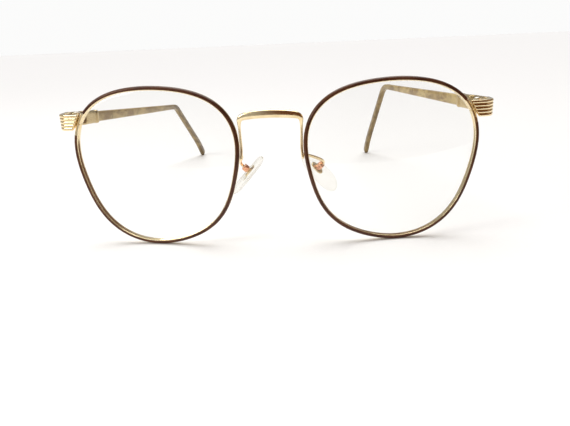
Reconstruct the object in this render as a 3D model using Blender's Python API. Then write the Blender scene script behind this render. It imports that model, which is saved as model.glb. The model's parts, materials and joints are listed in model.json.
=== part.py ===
"""Full-rim metal eyeglasses, standing open on the bottoms of the rims and on the temple tips.

+X points to the wearer's left, +Y backwards along the temples and +Z up. The origin lies on the
surface that the glasses stand on, under the middle of their bounding box.

Everything on the front is modelled in the front's own frame: the lens centres at z = 0, the bridge
near y = 0. Each sided piece is modelled for the wearer's left (+X) and mirrored for the right.
"""

import math

import bmesh
import bpy
from mathutils import Matrix, Vector

mm = 0.001
SIDES = (("left", 1), ("right", -1))
SOLDER = 0.06 * mm          # air left between pieces that are soldered or glued together
ROUND_OFF = 0.001 * mm

# Standing pose
STAND_Y = -70.6 * mm        # from the bounding box's middle to the front's own frame
STAND_Z = 24.56 * mm
STAND_LEAN = math.radians(0.64)   # the front leans back, so that rims and temple tips all touch down

# Lenses and rims
LENS_SPACING = 71.7 * mm
WRAP = math.radians(7.0)    # each lens turns back at its temple side
BASE_CURVE = 100.0 * mm     # radius of the sphere that lens and rim follow
RIM_RADII = [r * mm for r in (24.8, 27.4, 25.6, 23.8, 25.5, 27.4, 24.9, 24.2, 23.8, 23.8, 24.6, 24.1)]
RIM_STEPS = 60
RIM_OUT = 0.75 * mm         # from the rim's centreline to its outer face
RIM_IN = 0.5 * mm           # and to the lips that hold the lens
RIM_BACK = 1.0 * mm         # half of the rim's depth, front to back
GROOVE_BACK = 0.5 * mm      # half of the groove's mouth
GROOVE_OUT = 0.12 * mm      # the groove's bottom
LENS_PLAY = 0.08 * mm
LENS_CENTRE = 0.95 * mm     # half of the lens's thickness at its centre, and at its edge
LENS_EDGE = 0.8 * mm
LENS_RINGS = (0.3, 0.6, 0.85)     # where its faces have rings of points, as shares of the way to its edge
SPLIT = math.radians(30.0)  # where each rim opens, at the closing blocks
SPLIT_GAP = 0.15 * mm

# Closing blocks, which hold a rim's two ends together
BLOCK_LENGTH = 1.6 * mm
BLOCK_WIDE = 2.1 * mm
BLOCK_DEEP = 2.2 * mm
BLOCK_BACK = 0.75 * mm      # the screw's axis, behind the rim's centreline
CLOSING_SCREW = 0.55 * mm   # radius
SCREW_PLAY = 0.06 * mm

# End pieces: a ribbed plate that runs out from the rim and turns back to the hinge
PLATE_START = Vector((59.61, 5.65)) * mm
PLATE_HEADING = math.radians(8.0)
PLATE_FRONT_RUN = 2.7 * mm
PLATE_TURN_RADIUS = 3.0 * mm
PLATE_THICK = 1.1 * mm
PLATE_HEIGHT = 4.8 * mm
PLATE_MIDDLE_Z = 14.2 * mm
PLATE_SHEAR = -0.55         # the plate's inner end follows the slope of the rim
RIBS = 5
RIB_DEPTH = 0.28 * mm

# Hinges, with the axis square to the temple
HINGE = Vector((62.2, 13.0, 14.2)) * mm
KNUCKLE = 1.15 * mm
KNUCKLE_BORE = 0.66 * mm
KNUCKLE_MIDDLE = 0.8 * mm   # half of the middle knuckle's height
KNUCKLE_TOP = 1.9 * mm      # half of the whole hinge's height
KNUCKLE_PLAY = 0.06 * mm
LEAF_X = 1.95 * mm          # outer face of the leaves, from the axis
LEAF_THICK = 0.75 * mm
LEAF_FROM = 101             # the knuckle is round between these degrees, and the plate runs off between them
LEAF_TO = 349
FRONT_LEAF = 4.2 * mm
TEMPLE_LEAF = 6.2 * mm
HINGE_SCREW = 0.6 * mm

# Temples, each bent to suit its own ear
LEAN_IN = {"left": math.radians(11.6), "right": math.radians(6.3)}
PITCH = {"left": math.radians(1.9), "right": math.radians(5.5)}     # down from the front's square
BEND = {"left": math.radians(48.3), "right": math.radians(33.8)}
TEMPLE_X = 2.2 * mm         # the temple's centreline, outwards of the hinge axis
TEMPLE_REACH = 95.0 * mm    # from the hinge to the corner of the bend
TEMPLE_BACK = 46.0 * mm     # from that corner to the tip's end
BEND_RADIUS = 10.0 * mm
HOOK = math.radians(12.0)
HOOK_LENGTH = 14.0 * mm
COLLAR_START = 0.15 * mm
COLLAR_HEIGHT = 4.5 * mm
COLLAR_END = 16.0 * mm
SOCKET_START = 8.5 * mm
CORE_WIDE = 0.9 * mm
CORE_HIGH = 1.5 * mm
CORE_PLAY = 0.06 * mm
CORE_STOP = 9.0 * mm        # the core wire ends this far short of the tip
SLEEVE_THICK = 2.2 * mm
SLEEVE_HEIGHTS = (          # (distance from the hinge, height)
    (COLLAR_END, 3.55 * mm),
    (92.0 * mm, 2.2 * mm),
    (122.0 * mm, 2.5 * mm),
    (136.0 * mm, 3.1 * mm),
)
TIP_LENGTH = 0.5 * mm       # the tip's rounded end
SOCKET_HEIGHT = 4.15 * mm    # the collar's height where the sleeve enters it
SOCKET_WALL = 0.2 * mm      # how far the collar stands proud of the sleeve

# Bridge: half of the bar's centreline, with the half height and half depth of its section
BAR_HALF = (
    ((0.0, -1.0, 15.8), 1.22, 0.80),
    ((4.0, -0.8, 15.6), 1.18, 0.80),
    ((7.4, -0.3, 15.1), 1.04, 0.72),
    ((8.8, -0.1, 14.2), 0.80, 0.62),
    ((9.05, 0.15, 12.0), 0.42, 0.42),
)
LEG_RADIUS = 0.4 * mm
LEG_ANGLES = [math.radians(a) for a in (166, 170.5, 175)]   # where the leg follows the rim

# Nose pads and their arms
PAD_CENTRE = {
    "left": Vector((12.8, 10.5, -3.7)) * mm,
    "right": Vector((-7.7, 10.5, -4.1)) * mm,
}
PAD_FRONTAL = math.radians(42.0)   # the pads spread downwards
PAD_SPLAY = {"left": math.radians(25.0), "right": math.radians(5.0)}   # and backwards, each as it is bent
PAD_LENGTH = 15.2 * mm
PAD_WIDTH = 8.4 * mm
PAD_EGG = 0.12              # how much wider the lower end is than the middle
PAD_LEVELS = (              # the pad's thickness, back to face, with the share of its half width there
    (-0.9 * mm, 0.82),
    (-0.65 * mm, 0.94),
    (-0.2 * mm, 1.0),
    (0.3 * mm, 0.96),
    (0.6 * mm, 0.83),
    (0.8 * mm, 0.55),
)
PIVOT_BACK = 1.75 * mm      # the pad's screw, behind the middle of the pad's thickness
PIVOT_UP = 1.5 * mm         # and above the middle of its length
LUG_WIDE = 1.1 * mm
LUG_RADIUS = 0.65 * mm
INSERT_LENGTH = 4.4 * mm
INSERT_WIDTH = 2.6 * mm
INSERT_DEEP = 0.5 * mm
BOX_WALL = 0.42 * mm
BOX_LENGTH = 1.8 * mm
BOX_OPEN = -1.25 * mm       # along the pad's normal: the open end, the slot's bottom, the closed end
BOX_BOTTOM = -2.5 * mm
BOX_CLOSED = -2.95 * mm
BOX_PLAY = 0.1 * mm         # beside the lug
PAD_SCREW = 0.32 * mm
PAD_SCREW_PLAY = 0.06 * mm
ARM_RADIUS = 0.45 * mm
ARM_ANGLE = math.radians(173)     # where the arm leaves the bridge's leg
ARM_RISE = Vector((0.0, 0.5, 1.1)) * mm

GOLD = (0.83, 0.66, 0.33, 1.0)
BROWN = (0.20, 0.09, 0.05, 1.0)
TORTOISE = (0.30, 0.20, 0.11, 1.0)
STEEL = (0.72, 0.70, 0.66, 1.0)
CLEAR = (0.95, 0.96, 0.96, 1.0)


def clear_scene():
    for obj in list(bpy.data.objects):
        bpy.data.objects.remove(obj, do_unlink=True)


def material(name, colour, roughness, metallic, transmission=0.0):
    made = bpy.data.materials.get(name) or bpy.data.materials.new(name)
    made.use_nodes = True
    shader = made.node_tree.nodes["Principled BSDF"]
    shader.inputs["Base Color"].default_value = colour
    shader.inputs["Roughness"].default_value = roughness
    shader.inputs["Metallic"].default_value = metallic
    shader.inputs["Transmission Weight"].default_value = transmission
    return made


def gold():
    return material("gold plate", GOLD, 0.25, 1.0)


def steel():
    return material("steel", STEEL, 0.35, 1.0)


def enamel():
    return material("brown enamel", BROWN, 0.3, 0.2)


def empty(name, parent, location=(0, 0, 0), rotation=None):
    made = bpy.data.objects.new(name, None)
    bpy.context.scene.collection.objects.link(made)
    made.parent = parent
    made.matrix_basis = Matrix.Translation(location) @ (rotation or Matrix.Identity(4))
    return made


def add(name, points, faces, parent, side, finish):
    """An object from points in its parent's frame. On the right side, -1, the shape is mirrored in X."""
    mesh = bpy.data.meshes.new(name)
    if side < 0:
        points = [(-x, y, z) for x, y, z in points]
        faces = [tuple(reversed(face)) for face in faces]
    mesh.from_pydata([tuple(p) for p in points], [], faces)
    shape = bmesh.new()
    shape.from_mesh(mesh)
    bmesh.ops.recalc_face_normals(shape, faces=shape.faces)
    shape.to_mesh(mesh)
    shape.free()
    mesh.materials.append(finish)
    mesh.shade_smooth()
    mesh.set_sharp_from_angle(angle=math.radians(35))
    obj = bpy.data.objects.new(name, mesh)
    bpy.context.scene.collection.objects.link(obj)
    obj.parent = parent
    return obj


def loft(loops):
    """Points and faces of a skin through loops of equal length, with a cap at each end."""
    count = len(loops[0])
    points = [p for loop in loops for p in loop]
    faces = []
    for i in range(len(loops) - 1):
        a, b = i * count, (i + 1) * count
        for k in range(count):
            n = (k + 1) % count
            faces.append((a + k, a + n, b + n, b + k))
    faces.append(tuple(reversed(range(count))))
    faces.append(tuple(range(len(points) - count, len(points))))
    return points, faces


def prism(outline, low, high, place):
    """An outline drawn out between two levels. place(x, y, level) gives each point."""
    return loft([[place(x, y, level) for x, y in outline] for level in (low, high)])


def superellipse(half_x, half_y, power, count, centre=(0.0, 0.0)):
    """A rounded rectangle: power 2 is an ellipse, and a larger power has squarer corners."""
    loop = []
    for k in range(count):
        c = math.cos(2 * math.pi * (k + 0.5) / count)
        s = math.sin(2 * math.pi * (k + 0.5) / count)
        x = math.copysign(abs(c) ** (2 / power), c) * half_x
        y = math.copysign(abs(s) ** (2 / power), s) * half_y
        loop.append((centre[0] + x, centre[1] + y))
    return loop


def cutter(name, points, faces, parent, side):
    """A helper shape that other pieces subtract or join, and that isn't a part of the object."""
    obj = add(name, points, faces, parent, side, gold())
    obj.hide_render = True
    obj.display_type = "WIRE"
    return obj


def boolean(obj, other, operation="DIFFERENCE"):
    modifier = obj.modifiers.new(other.name, "BOOLEAN")
    modifier.operation = operation
    modifier.solver = "EXACT"
    modifier.object = other


def drill(obj, radius, low, high, place, parent, side):
    """Cuts a round hole right through the object, between and past these levels."""
    hole = superellipse(radius, radius, 2, 16)
    tool = prism(hole, low - 1.0 * mm, high + 1.0 * mm, place)
    boolean(obj, cutter(obj.name + "_drill", *tool, parent, side))


def rectangle(low, high):
    return [low, (high[0], low[1]), high, (low[0], high[1])]


def upright(x, y, level):
    return (x, y, level)


def sideways(y, z, level):
    return (level, y, z)


def slotted_screw(name, parent, side, place, radius, low, high, head_radius, head_height, head_up=True):
    """A screw along place's third axis, with a slotted head on its upper end, or on its lower one."""
    foot, seat, rise = (low, high, head_height) if head_up else (high, low, -head_height)
    levels = [(foot, radius), (seat, radius), (seat, head_radius), (seat + rise, head_radius * 0.85)]
    loops = [[place(x, y, level) for x, y in superellipse(r, r, 2, 12)] for level, r in levels]
    screw = add(name, *loft(loops), parent, side, steel())
    long, wide = 2 * head_radius, 0.22 * head_radius
    slot = prism(rectangle((-long, -wide), (long, wide)), seat + rise / 2, seat + 2 * rise, place)
    boolean(screw, cutter(name + "_slot", *slot, parent, side))


# Rims and lenses


def rim_radius(angle):
    """The smooth closed curve through RIM_RADII, which are given at equal angles from the temple side."""
    count = len(RIM_RADII)
    total = 0.0
    for k, radius in enumerate(RIM_RADII):
        away = angle - 2 * math.pi * k / count
        near = abs(math.sin(away / 2)) < 1e-9
        total += radius * (1.0 if near else math.sin(count * away / 2) / (count * math.tan(away / 2)))
    return total


def rim_axes(angle):
    """The rim's centreline in the lens's frame, and its outward and tangent directions there."""
    step = 1e-4
    radius = rim_radius(angle)
    slope = (rim_radius(angle + step) - rim_radius(angle - step)) / (2 * step)
    c, s = math.cos(angle), math.sin(angle)
    tangent = Vector((slope * c - radius * s, 0, slope * s + radius * c)).normalized()
    outward = Vector((tangent.z, 0, -tangent.x))
    centre = Vector((radius * c, radius * radius / (2 * BASE_CURVE), radius * s))
    return centre, outward, tangent


def rim_point(angle, out, back, along=0.0):
    """A point beside the rim: outwards, backwards and along it from its centreline."""
    centre, outward, tangent = rim_axes(angle)
    return centre + outward * out + Vector((0, back, 0)) + tangent * along


RIM_SECTION = (
    (-RIM_IN, -0.85 * RIM_BACK),
    (-0.35 * mm, -RIM_BACK),
    (0.3 * mm, -RIM_BACK),
    (0.65 * mm, -0.6 * RIM_BACK),
    (RIM_OUT, 0.0),
    (0.65 * mm, 0.6 * RIM_BACK),
    (0.3 * mm, RIM_BACK),
    (-0.35 * mm, RIM_BACK),
    (-RIM_IN, 0.85 * RIM_BACK),
    (-RIM_IN, GROOVE_BACK),
    (GROOVE_OUT, 0.0),
    (-RIM_IN, -GROOVE_BACK),
)


def eyewire(side_name, side, lens_frame):
    """The rim: a grooved wire round the lens, open at the closing blocks."""
    gap = SPLIT_GAP / rim_radius(SPLIT)
    loops = []
    for k in range(RIM_STEPS + 1):
        angle = SPLIT + gap + (2 * math.pi - 2 * gap) * k / RIM_STEPS
        loops.append([rim_point(angle, out, back) for out, back in RIM_SECTION])
    return add("eyewire_" + side_name, *loft(loops), lens_frame, side, enamel())


def lens(side_name, side, lens_frame):
    """A curved lens with a bevelled edge, which stands in the rim's groove."""
    gap = SPLIT_GAP / rim_radius(SPLIT)
    angles = [SPLIT + gap + (2 * math.pi - 2 * gap) * k / RIM_STEPS for k in range(RIM_STEPS)]
    shoulder = -RIM_IN - LENS_PLAY
    tip = GROOVE_OUT - 1.6 * LENS_PLAY
    edge = (
        (shoulder, -LENS_EDGE),
        (shoulder, -GROOVE_BACK + LENS_PLAY),
        (tip, 0.0),
        (shoulder, GROOVE_BACK - LENS_PLAY),
        (shoulder, LENS_EDGE),
    )

    def ring(share, face):
        """A ring on the front face, -1, or the back one, 1, at this share of the way out to the edge."""
        half = face * (LENS_CENTRE + (LENS_EDGE - LENS_CENTRE) * share)
        rims = [rim_point(angle, shoulder, 0) for angle in angles]
        return [Vector((p.x * share, p.y * share * share + half, p.z * share)) for p in rims]

    loops = [ring(share, -1) for share in LENS_RINGS]
    loops += [[rim_point(angle, out, back) for angle in angles] for out, back in edge]
    loops += [ring(share, 1) for share in reversed(LENS_RINGS)]
    finish = material("lens", CLEAR, 0.02, 0.0, transmission=1.0)
    return add("lens_" + side_name, *loft(loops), lens_frame, side, finish)


# Closing blocks and their screws


def closing_blocks(side_name, side, lens_frame):
    """Two small blocks on the rim's ends, and the screw that draws them together from below."""
    axis_out = RIM_OUT + SOLDER + BLOCK_WIDE / 2

    def place(x, y, level):
        return rim_point(SPLIT, axis_out + x, BLOCK_BACK + y, level)

    outline = superellipse(BLOCK_WIDE / 2, BLOCK_DEEP / 2, 6, 16)
    for which, low in (("upper", SPLIT_GAP), ("lower", -SPLIT_GAP - BLOCK_LENGTH)):
        high = low + BLOCK_LENGTH
        name = f"closing_block_{which}_{side_name}"
        block = add(name, *prism(outline, low, high, place), lens_frame, side, gold())
        drill(block, CLOSING_SCREW + SCREW_PLAY, low, high, place, lens_frame, side)
    bottom = -SPLIT_GAP - BLOCK_LENGTH - SOLDER
    slotted_screw(
        "closing_screw_" + side_name, lens_frame, side, place, CLOSING_SCREW,
        bottom, BLOCK_LENGTH, 0.95 * mm, 0.5 * mm, head_up=False,
    )


# End pieces


def plate_path():
    """The end piece's plate from above: (point, heading) from the rim, round the corner, to the hinge."""
    heading = Vector((math.cos(PLATE_HEADING), math.sin(PLATE_HEADING)))
    corner = PLATE_START + heading * PLATE_FRONT_RUN
    centre = corner + Vector((-heading.y, heading.x)) * PLATE_TURN_RADIUS
    path = [(PLATE_START, PLATE_HEADING), ((PLATE_START + corner) / 2, PLATE_HEADING)]
    for k in range(6):
        angle = PLATE_HEADING + (math.pi / 2 - PLATE_HEADING) * k / 5
        point = centre + Vector((math.sin(angle), -math.cos(angle))) * PLATE_TURN_RADIUS
        path.append((point, angle))
    rear = HINGE.y - 0.15 * mm
    path.append((Vector((path[-1][0].x, rear)), math.pi / 2))
    return path


def ribbed_profile(height, thick, ribs, depth):
    """A plate's upright section, (outward, up), with rounded ribs that run along its outer face."""
    profile = [(-thick / 2, -height / 2), (thick / 2, -height / 2)]
    steps = 2 * ribs
    for k in range(1, steps):
        up = -height / 2 + height * k / steps
        profile.append((thick / 2 + (depth if k % 2 else 0.0), up))
    return profile + [(thick / 2, height / 2), (-thick / 2, height / 2)]


def end_piece(side_name, side, front):
    """The ribbed plate from the rim to the hinge. Its rear end is cut parallel to the hinge axis."""
    profile = ribbed_profile(PLATE_HEIGHT, PLATE_THICK, RIBS, RIB_DEPTH)
    path = plate_path()
    loops = []
    for i, (point, heading) in enumerate(path):
        shear = PLATE_SHEAR * (1 - i / 4) if i < 4 else 0.0
        tilt = math.tan(PITCH[side_name]) if i == len(path) - 1 else 0.0
        loop = []
        for out, up in profile:
            x = point.x + math.sin(heading) * out + shear * up
            y = point.y - math.cos(heading) * out + tilt * up
            loop.append((x, y, PLATE_MIDDLE_Z + up))
        loops.append(loop)
    return add("end_piece_" + side_name, *loft(loops), front, side, gold())


# Hinges


def leaf_outline(reach):
    """A hinge leaf from above: the knuckle, and a plate along its outer side to this reach."""
    inner, outer = LEAF_X - LEAF_THICK, LEAF_X
    turns = [math.radians(LEAF_FROM + (LEAF_TO - LEAF_FROM) * k / 12) for k in range(13)]
    outline = [(KNUCKLE * math.cos(turn), KNUCKLE * math.sin(turn)) for turn in turns]
    outline += [(outer, -0.2 * mm), (outer, abs(reach)), (inner, abs(reach)), (inner, 0.9 * mm)]
    if reach < 0:
        outline = [(x, -y) for x, y in reversed(outline)]
    return outline


def leaf(name, reach, half, parent, side):
    """A leaf with its knuckle, drilled for the screw."""
    made = add(name, *prism(leaf_outline(reach), -half, half, upright), parent, side, gold())
    drill(made, KNUCKLE_BORE, -half, half, upright, parent, side)
    return made


def hinge(side_name, side, hinge_frame, temple_frame):
    """A three-knuckle hinge: a forked leaf on the front, a tongue on the temple, and the screw."""
    fork = leaf("front_hinge_" + side_name, -FRONT_LEAF, KNUCKLE_TOP, hinge_frame, side)
    reach = 1.6 * KNUCKLE
    half = KNUCKLE_MIDDLE + KNUCKLE_PLAY
    slot = prism(rectangle((-reach, -reach), (reach + 1.0 * mm, reach)), -half, half, upright)
    boolean(fork, cutter("knuckle_slot_" + side_name, *slot, hinge_frame, side))
    leaf("temple_hinge_" + side_name, TEMPLE_LEAF, KNUCKLE_MIDDLE, temple_frame, side)
    slotted_screw(
        "hinge_screw_" + side_name, hinge_frame, side, upright, HINGE_SCREW,
        -KNUCKLE_TOP - 0.2 * mm, KNUCKLE_TOP + SOLDER, 0.95 * mm, 0.35 * mm,
    )


# Temples


def temple_stations(bend):
    """(distance, y, z, heading) down the temple: straight, the bend over the ear, the drop and the hook."""
    corner = BEND_RADIUS * math.tan(bend / 2)
    runs = (
        (COLLAR_START, 0.0, 1),
        (SOCKET_START - COLLAR_START, 0.0, 2),
        (COLLAR_END - SOCKET_START, 0.0, 1),
        (TEMPLE_REACH - corner - COLLAR_END, 0.0, 3),
        (BEND_RADIUS * bend, bend, 6),
        (TEMPLE_BACK - corner - HOOK_LENGTH, 0.0, 2),
        (HOOK_LENGTH, HOOK, 6),
    )
    distance = y = z = heading = 0.0
    stations = [(distance, y, z, heading)]
    for length, turn, pieces in runs:
        for _ in range(pieces):
            heading += turn / pieces / 2
            y += length / pieces * math.cos(heading)
            z -= length / pieces * math.sin(heading)
            heading += turn / pieces / 2
            distance += length / pieces
            stations.append((distance, y, z, heading))
    return stations


def sleeve_height(distance):
    """The sleeve's height at this distance from the hinge, straight between SLEEVE_HEIGHTS."""
    for (d0, h0), (d1, h1) in zip(SLEEVE_HEIGHTS, SLEEVE_HEIGHTS[1:]):
        if distance <= d1:
            return h0 + (h1 - h0) * max(0.0, (distance - d0) / (d1 - d0))
    return SLEEVE_HEIGHTS[-1][1]


def temple_loop(station, section):
    """A section, (outward, up), set square to the temple's centreline."""
    _, y, z, heading = station
    return [
        (TEMPLE_X + out, y + up * math.sin(heading), z + up * math.cos(heading))
        for out, up in section
    ]


def rounded(wide, high, corner):
    """A rectangle with cut corners, (outward, up)."""
    w, h = wide / 2, high / 2
    return [
        (w, -h + corner), (w, h - corner), (w - corner, h), (-w + corner, h),
        (-w, h - corner), (-w, -h + corner), (-w + corner, -h), (w - corner, -h),
    ]


def further(station, step):
    """The station moved on straight along its heading."""
    distance, y, z, heading = station
    return (distance + step, y + step * math.cos(heading), z - step * math.sin(heading), heading)


def between(stations, start, end):
    """The stations from one distance to another, ends included."""
    return [s for s in stations if start - ROUND_OFF <= s[0] <= end + ROUND_OFF]


def core(side_name, side, temple_frame):
    """The steel wire from the collar's socket down inside the sleeve."""
    stations = temple_stations(BEND[side_name])
    section = rounded(CORE_WIDE, CORE_HIGH, 0.2 * mm)
    loops = [temple_loop(s, section) for s in between(stations, SOCKET_START, stations[-1][0] - CORE_STOP)]
    add("temple_core_" + side_name, *loft(loops), temple_frame, side, steel())


def sleeve(side_name, side, temple_frame):
    """The plastic sleeve with its tip, hollow where the core wire runs."""
    stations = temple_stations(BEND[side_name])
    total = stations[-1][0]
    outer = [
        temple_loop(s, rounded(SLEEVE_THICK, sleeve_height(s[0]), 0.5 * mm))
        for s in between(stations, COLLAR_END, total)
    ]
    tip = further(stations[-1], TIP_LENGTH)
    outer.append(temple_loop(tip, rounded(SLEEVE_THICK * 0.6, sleeve_height(total) * 0.7, 0.3 * mm)))
    pocket = rounded(CORE_WIDE + 2 * CORE_PLAY, CORE_HIGH + 2 * CORE_PLAY, 0.2 * mm)
    hollow = between(stations, COLLAR_END, total - CORE_STOP)
    hollow.append(further(hollow[-1], 0.3 * mm))
    inner = [temple_loop(s, pocket) for s in reversed(hollow)]
    finish = material("tortoise", TORTOISE, 0.2, 0.0)
    add("temple_sleeve_" + side_name, *loft(inner + outer), temple_frame, side, finish)


def collar(side_name, side, temple_frame):
    """The temple's metal front end: a plate beside the hinge leaf that swells into the sleeve's socket."""
    def loop(distance, inner_x, outer_x, height, corner):
        section = rounded(outer_x - inner_x, height, corner)
        return [((inner_x + outer_x) / 2 + out, distance, up) for out, up in section]

    plate_x = LEAF_X + SOLDER
    socket_x = TEMPLE_X - SLEEVE_THICK / 2 - SOCKET_WALL
    outer_x = TEMPLE_X + SLEEVE_THICK / 2 + SOCKET_WALL
    rear = COLLAR_END - SOLDER
    outer = [
        loop(COLLAR_START, plate_x, outer_x, COLLAR_HEIGHT, 0.3 * mm),
        loop(TEMPLE_LEAF + 0.3 * mm, plate_x, outer_x, COLLAR_HEIGHT, 0.3 * mm),
        loop(TEMPLE_LEAF + 1.3 * mm, socket_x, outer_x, COLLAR_HEIGHT, 0.3 * mm),
        loop(rear, socket_x, outer_x, SOCKET_HEIGHT, 0.4 * mm),
    ]
    half, height = CORE_WIDE / 2 + CORE_PLAY, CORE_HIGH + 2 * CORE_PLAY
    socket = [
        loop(distance, TEMPLE_X - half, TEMPLE_X + half, height, 0.2 * mm)
        for distance in (rear, SOCKET_START - CORE_PLAY)
    ]
    add("temple_collar_" + side_name, *loft(outer + socket), temple_frame, side, gold())


# Bridge


def spline(points, pieces):
    """A smooth curve through the points: Catmull-Rom, with that many pieces in each span."""
    padded = [points[0] * 2 - points[1]] + points + [points[-1] * 2 - points[-2]]
    curve = []
    for a, b, c, d in zip(padded, padded[1:], padded[2:], padded[3:]):
        for k in range(pieces):
            t = k / pieces
            curve.append(
                b + (c - a) * 0.5 * t
                + (a - b * 2.5 + c * 2 - d * 0.5) * t * t
                + (b * 1.5 - a * 0.5 - c * 1.5 + d * 0.5) * t * t * t
            )
    return curve + [points[-1]]


def beside_rim(angle):
    """The leg's centre, where it runs along the left rim, in the front's frame."""
    to_front = Matrix.Translation((LENS_SPACING / 2, 0, 0)) @ Matrix.Rotation(WRAP, 4, "Z")
    return to_front @ rim_point(angle, RIM_OUT + SOLDER + LEG_RADIUS, 0.2 * mm)


def bridge(front):
    """The saddle bar, whose ends turn down into legs that run along the rims."""
    half = [(Vector(centre) * mm, up * mm, back * mm) for centre, up, back in BAR_HALF]
    half += [(beside_rim(angle), LEG_RADIUS, LEG_RADIUS) for angle in LEG_ANGLES]
    half = [Vector((*centre, up, back)) for centre, up, back in half]
    other = [Vector((-p[0], *p[1:])) for p in reversed(half[1:])]
    curve = spline(other + half, 2)
    loops = []
    for i, p in enumerate(curve):
        before, after = curve[max(i - 1, 0)], curve[min(i + 1, len(curve) - 1)]
        tangent = Vector((after[0] - before[0], 0, after[2] - before[2])).normalized()
        up = Vector((-tangent.z, 0, tangent.x))
        centre = Vector(p[:3])
        loops.append([
            centre + up * a + Vector((0, b, 0)) for a, b in superellipse(p[3], p[4], 2.4, 10)
        ])
    return add("bridge", *loft(loops), front, 1, gold())


# Nose pads


def pad_axes(side_name, side):
    """The pad's own axes: across it backwards, along it down and outwards, and out of its face."""
    splay = PAD_SPLAY[side_name]
    along = Vector((side * math.sin(PAD_FRONTAL), 0, -math.cos(PAD_FRONTAL)))
    inward = Vector((-side * math.cos(PAD_FRONTAL), 0, -math.sin(PAD_FRONTAL)))
    back = Vector((0, 1, 0))
    normal = inward * math.cos(splay) + back * math.sin(splay)
    across = back * math.cos(splay) - inward * math.sin(splay)
    return across, along, normal


def pad_rotation(side_name, side):
    across, along, normal = pad_axes(side_name, side)
    return Matrix((across * side, along, normal)).transposed().to_4x4()


def pad_shape():
    """The pad, seen from its screw: an egg-shaped cushion, flat at the back and crowned at its face."""
    loops = []
    for level, share in PAD_LEVELS:
        loop = []
        for x, y in superellipse(PAD_WIDTH / 2, PAD_LENGTH / 2, 2.3, 20):
            egg = 1 + PAD_EGG * y / (PAD_LENGTH / 2)
            shrink = 1 - (1 - share) * PAD_WIDTH / 2 / math.hypot(x, y)
            loop.append((x * egg * shrink, y * shrink + PIVOT_UP, level + PIVOT_BACK))
        loops.append(loop)
    return loft(loops)


def nose_pad(side_name, side, pad_frame):
    """The clear pad, with a pocket in its back. pad_frame stands on the screw, with Z out of the face."""
    finish = material("clear pad", CLEAR, 0.15, 0.0, transmission=0.8)
    pad = add("nose_pad_" + side_name, *pad_shape(), pad_frame, side, finish)
    back = PIVOT_BACK + PAD_LEVELS[0][0]
    outline = superellipse(INSERT_WIDTH / 2 + SOLDER, INSERT_LENGTH / 2 + SOLDER, 2.5, 16)
    pocket = prism(outline, back - 0.5 * mm, back + INSERT_DEEP + SOLDER, upright)
    boolean(pad, cutter("pad_pocket_" + side_name, *pocket, pad_frame, side))


def pad_insert(side_name, side, pad_frame):
    """The plate moulded into the pad's back, with a drilled lug that hangs on the pad's screw."""
    back = PIVOT_BACK + PAD_LEVELS[0][0]
    outline = superellipse(INSERT_WIDTH / 2, INSERT_LENGTH / 2, 2.5, 16)
    plate = prism(outline, back, back + INSERT_DEEP, upright)
    insert = add("pad_insert_" + side_name, *plate, pad_frame, side, gold())
    root = back + INSERT_DEEP / 2
    turns = [math.pi * (1 + k / 8) for k in range(9)]
    lug_outline = [(LUG_RADIUS * math.cos(turn), LUG_RADIUS * math.sin(turn)) for turn in turns]
    lug_outline += [(LUG_RADIUS, root), (-LUG_RADIUS, root)]
    half = LUG_WIDE / 2
    lug = prism(lug_outline, -half, half, sideways)
    boolean(insert, cutter("pad_lug_" + side_name, *lug, pad_frame, side), "UNION")
    drill(insert, PAD_SCREW + PAD_SCREW_PLAY, -half, half, sideways, pad_frame, side)


def pad_box(side_name, side, box_frame):
    """The small forked box on the end of the arm, and the screw that the pad rocks on."""
    inner = LUG_WIDE / 2 + BOX_PLAY
    outer = inner + BOX_WALL
    low, bottom, high = (level + PIVOT_BACK for level in (BOX_CLOSED, BOX_BOTTOM, BOX_OPEN))
    long = BOX_LENGTH / 2
    body = prism(rectangle((-outer, -long), (outer, long)), low, high, upright)
    fork = add("pad_box_" + side_name, *body, box_frame, side, gold())
    slot = prism(rectangle((-inner, -2 * long), (inner, 2 * long)), bottom, high + 1.0 * mm, upright)
    boolean(fork, cutter("box_slot_" + side_name, *slot, box_frame, side))
    drill(fork, PAD_SCREW + PAD_SCREW_PLAY, -outer, outer, sideways, box_frame, side)
    slotted_screw(
        "pad_screw_" + side_name, box_frame, side, sideways, PAD_SCREW,
        -outer - SOLDER, outer, 0.62 * mm, 0.32 * mm, head_up=False,
    )


def pad_arm(side_name, side, front):
    """The wire from the foot of the bridge's leg to the closed end of the pad box."""
    _, _, normal = pad_axes(side_name, side)
    foot = beside_rim(ARM_ANGLE)
    start = Vector((side * foot.x, foot.y + LEG_RADIUS + SOLDER, foot.z))
    end = PAD_CENTRE[side_name] + normal * (BOX_CLOSED - SOLDER)
    behind = start + Vector((0, 1.6, 0)) * mm
    route = [start, behind, (start + end) / 2 + ARM_RISE, end - normal * 1.8 * mm, end]
    curve = bpy.data.curves.new("pad_arm_" + side_name, "CURVE")
    curve.dimensions = "3D"
    curve.bevel_depth = ARM_RADIUS
    curve.bevel_resolution = 2
    curve.resolution_u = 4
    curve.use_fill_caps = True
    line = curve.splines.new("NURBS")
    line.points.add(len(route) - 1)
    for point, place in zip(line.points, route):
        point.co = (*place, 1.0)
    line.order_u = 4
    line.use_endpoint_u = True
    curve.materials.append(gold())
    arm = bpy.data.objects.new("pad_arm_" + side_name, curve)
    bpy.context.scene.collection.objects.link(arm)
    arm.parent = front
    return arm


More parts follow.
